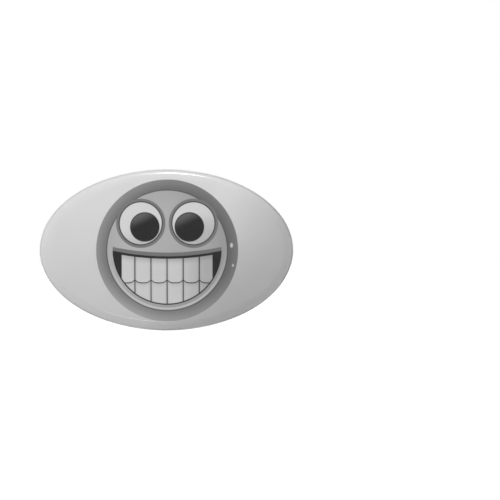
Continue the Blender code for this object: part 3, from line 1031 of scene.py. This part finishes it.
def needle_route():
    """Points of the needle's middle line about the hinge, each with its share of the wire's radius."""
    route = []
    steps = round(COIL_STEPS_PER_TURN * COIL_TURNS)
    rise = COIL_PITCH * COIL_TURNS
    for step in range(steps + 1):
        share = step / steps
        angle = math.pi / 2 + 2 * math.pi * COIL_TURNS * (1 - share)
        point = Vector((COIL_RADIUS * math.cos(angle), COIL_RADIUS * math.sin(angle), rise * (0.5 - share)))
        route.append((point, 1.0))
    start = route[-1][0]
    catch = Vector((CATCH.x - HINGE.x, CATCH.y - HINGE.y, 0))
    tip_length = NEEDLE_TIP_X - NEEDLE_TAPER_X
    for step in range(1, STRAIGHT_STEPS + 1):
        x = HINGE.x + (NEEDLE_TAPER_X - HINGE.x) * step / STRAIGHT_STEPS
        route.append((start.lerp(catch, (x - HINGE.x) / (catch.x - start.x)), 1.0))
    for step in range(1, TAPER_STEPS + 1):
        share = step / TAPER_STEPS
        x = NEEDLE_TAPER_X + tip_length * share
        radius = max(1 - share ** TIP_CURVE, TIP_RADIUS_SHARE)
        route.append((start.lerp(catch, (x - HINGE.x) / (catch.x - start.x)), radius))
    return route


def make_needle(steel):
    curve = bpy.data.curves.new("needle", "CURVE")
    curve.dimensions = "3D"
    curve.bevel_depth = WIRE_RADIUS
    curve.bevel_resolution = 6
    curve.use_fill_caps = True
    spline = curve.splines.new("POLY")
    route = needle_route()
    spline.points.add(len(route) - 1)
    for point, (place, share) in zip(spline.points, route):
        point.co = (*place, 1)
        point.radius = share
    guide = bpy.data.objects.new("needle_guide", curve)
    bpy.context.scene.collection.objects.link(guide)
    bpy.context.view_layer.update()
    evaluated = guide.evaluated_get(bpy.context.evaluated_depsgraph_get())
    mesh = bpy.data.meshes.new_from_object(evaluated)
    bpy.data.objects.remove(guide, do_unlink=True)
    bm = bmesh.new()
    bm.from_mesh(mesh)
    bmesh.ops.remove_doubles(bm, verts=bm.verts, dist=MERGE)
    bmesh.ops.recalc_face_normals(bm, faces=bm.faces)
    needle = mesh_object("sprung_needle", bm, HINGE)
    smooth(needle, 50)
    stands_for(needle, "needle", "needle", "wire_steel", steel)


# ---------------------------------------------------------------- catch

SECTION = ((0, 0, 1), (0, 1, 0), (1, 0, 0))


def make_housing(steel):
    start = math.pi / 2 + HOUSING_MOUTH
    end = math.pi * 2.5 - HOUSING_MOUTH
    outline = arc(0, 0, HOUSING_OUTER, start, end, ROUND_STEPS)
    outline += arc(0, 0, HOUSING_INNER, end, start, ROUND_STEPS)
    housing = prism("rolled_housing", outline, HOUSING_LENGTH, SECTION, CATCH)
    foot_front = BAR_BACK_Y + BAR_GAP
    foot_back = CATCH.y - (HOUSING_OUTER + HOUSING_INNER) / 2
    size = (HOUSING_LENGTH, foot_back - foot_front, FOOT_WIDTH)
    foot = box("foot", size, (CATCH.x, (foot_front + foot_back) / 2, PIN_Z))
    cut(housing, [foot], "UNION")
    bevel(housing, HOUSING_BEVEL)
    stands_for(housing, "catch_housing", "root", "pin_steel", steel)


def make_lock(steel):
    along_x = (1, 0, 0)
    flange_middle = HOUSING_LENGTH / 2 + FLANGE_GAP + FLANGE_THICKNESS / 2
    lock_length = 2 * flange_middle + FLANGE_THICKNESS
    lock = cylinder("turning_lock", BARREL_RADIUS, lock_length, CATCH, along_x)
    solids = []
    for side in (-1, 1):
        place = CATCH + Vector((side * flange_middle, 0, 0))
        solids.append(cylinder("flange", FLANGE_RADIUS, FLANGE_THICKNESS, place, along_x))
    half = LEVER_WIDTH / 2
    tip = LEVER_REACH - half
    outline = [(-half, BORE_RADIUS + RUNNING_GAP), (half, BORE_RADIUS + RUNNING_GAP)]
    outline += arc(0, tip, half, 0, math.pi, 16)
    up = Vector((0, math.cos(LEVER_ANGLE), math.sin(LEVER_ANGLE)))
    side = Vector((1, 0, 0)).cross(up)
    place = CATCH + Vector((flange_middle, 0, 0))
    solids.append(prism("lever", outline, FLANGE_THICKNESS, (side, up, (1, 0, 0)), place))
    cut(lock, solids, "UNION")
    bore = cylinder("bore", BORE_RADIUS, 2 * lock_length, CATCH, along_x)
    slot_place = CATCH + Vector((0, FLANGE_RADIUS, 0))
    slot = box("slot", (2 * lock_length, 2 * FLANGE_RADIUS, SLOT_WIDTH), slot_place)
    cut(lock, [bore, slot])
    bevel(lock, PRESSED_BEVEL)
    stands_for(lock, "catch_lock", "lock", "pin_steel", steel)


# ---------------------------------------------------------------- stage, lights and camera

def ray_kind(graph, kind):
    path = graph.nodes.new("ShaderNodeLightPath")
    return Number(graph, path.outputs[kind])


def make_floor():
    """A white floor without a horizon. Polished metal doesn't see it, but the room all round."""
    bm = bmesh.new()
    bmesh.ops.create_circle(bm, cap_ends=True, segments=96, radius=STAGE_FLOOR_RADIUS)
    floor = mesh_object("floor", bm, (0, 0, cad_low.z))
    material, graph = material_graph("floor_white")
    camera = ray_kind(graph, "Is Camera Ray")
    glow = graph.node("ShaderNodeEmission", {
        "Color": (1, 1, 1, 1), "Strength": camera * FLOOR_GLOW + FLOOR_SPILL})
    lit = graph.node("ShaderNodeBsdfDiffuse", {"Color": STAGE_FLOOR_TONE})
    graph.finish(graph.node("ShaderNodeAddShader", {0: glow, 1: lit}))
    floor.data.materials.append(material)
    floor.visible_glossy = False


def room_in_metal(graph):
    """What gloss and metal see: a grey wall, a dark side, and pale panels above and below with gaps."""
    x, y, z = graph.axes("Generated")
    azimuth = x.math("ARCTAN2", y)
    rise = z.math("ARCSINE")
    warp = Number(graph, graph.node("ShaderNodeTexNoise", {
        "Vector": graph.place.outputs["Generated"], "Scale": 6.0, "Detail": 4.0})) - 0.5
    mottle = (warp + 0.5).ramp(0.35, 0.7)
    light = paint(azimuth * 0 + ROOM_BEHIND, paint(*ROOM_DARK, mottle), azimuth.ramp(*DARK_SIDE))
    light = paint(light, paint(*ROOM_GAP, mottle), (abs(rise) + warp * 0.25).ramp(*GAP_RISE))
    ring = y.ramp(*RING_FACING) * y.ramp(*RING_HOLE_FACING, 1.0, 0.0)
    light = paint(light, azimuth.ramp(*RING_TURN, *ROOM_RING), ring)
    beside = paint(ROOM_FRONT + y * 0, ROOM_BESIDE, y.ramp(*FRONT_FACING))
    light = paint(light, beside, y.ramp(*BESIDE_FACING, 1.0, 0.0))
    for *angles, brightness in PANELS:
        middle, height, half_width, half_height = (math.radians(angle) for angle in angles)
        turn = azimuth - middle + warp * ROOM_WARP
        lift = abs(rise - height) + warp * ROOM_WARP
        patch = turn.ramp(-half_width - PANEL_INNER_BLUR, -half_width)
        patch = patch * turn.ramp(half_width, half_width + PANEL_OUTER_BLUR, 1.0, 0.0)
        patch = patch * lift.ramp(half_height, half_height + PANEL_OUTER_BLUR, 1.0, 0.0)
        light = paint(light, brightness, patch)
    return light


def make_world():
    """A white backdrop for the camera, a soft white tent for matt surfaces, and the room for metal."""
    world = bpy.data.worlds.new("studio")
    bpy.context.scene.world = world
    graph = Graph(world, "ShaderNodeOutputWorld")
    _, y, z = graph.axes("Generated")
    tent = z.ramp(-1.0, 1.0, TENT_LOW, TENT_HIGH) * y.ramp(-0.3, 0.8, 1.0, TENT_BEHIND)
    light = paint(tent, room_in_metal(graph), ray_kind(graph, "Is Glossy Ray"))
    light = paint(light, 1.0, ray_kind(graph, "Is Camera Ray"))
    graph.finish(graph.node("ShaderNodeBackground", {"Color": graph.grey(light), "Strength": 1.0}))
    world.cycles.sampling_method = "NONE"


def area_light(name, place, size, power):
    """A lamp aimed at the badge's middle."""
    lamp = bpy.data.lights.new(name, "AREA")
    lamp.shape = "RECTANGLE"
    lamp.size, lamp.size_y = size
    lamp.energy = power
    obj = bpy.data.objects.new(name, lamp)
    bpy.context.scene.collection.objects.link(obj)
    obj.location = place
    obj.rotation_euler = (-Vector(place)).to_track_quat("-Z", "Y").to_euler()
    return obj


def make_lights():
    key = area_light("key", KEY_PLACE, KEY_SIZE, KEY_POWER)
    key.visible_glossy = False
    for name, (place, size, power) in TOP_LAMPS.items():
        lamp = area_light(name, place, size, power)
        lamp.data.shape = "ELLIPSE"
        lamp.visible_diffuse = False


def make_camera():
    lens = bpy.data.cameras.new("camera")
    lens.lens = LENS_MM
    lens.sensor_width = SENSOR_MM
    lens.clip_start = 0.01
    lens.clip_end = 20
    camera = bpy.data.objects.new("camera", lens)
    bpy.context.scene.collection.objects.link(camera)
    distance = VIEW_WIDTH * LENS_MM / SENSOR_MM
    camera.location = (VIEW_SHIFT_X, SIDE_Y - distance, 0)
    camera.rotation_euler = (math.pi / 2, 0, 0)
    bpy.context.scene.camera = camera


def main():
    make_camera()
    bar_steel = metal_material("bar_nickel", 0.68, 0.13, (6, 1, 1))
    wire_steel = metal_material("wire_nickel", 0.88, 0.09, (8, 1, 1), 0.12 * MM)
    catch_steel = metal_material("catch_nickel", 0.82, 0.12)
    make_layers()
    make_back_plate()
    make_bar(bar_steel)
    make_rivets(catch_steel)
    make_needle(wire_steel)
    make_housing(catch_steel)
    make_lock(catch_steel)
    make_floor()
    make_world()
    make_lights()
    scene = bpy.context.scene
    scene.view_settings.view_transform = "Standard"


main()
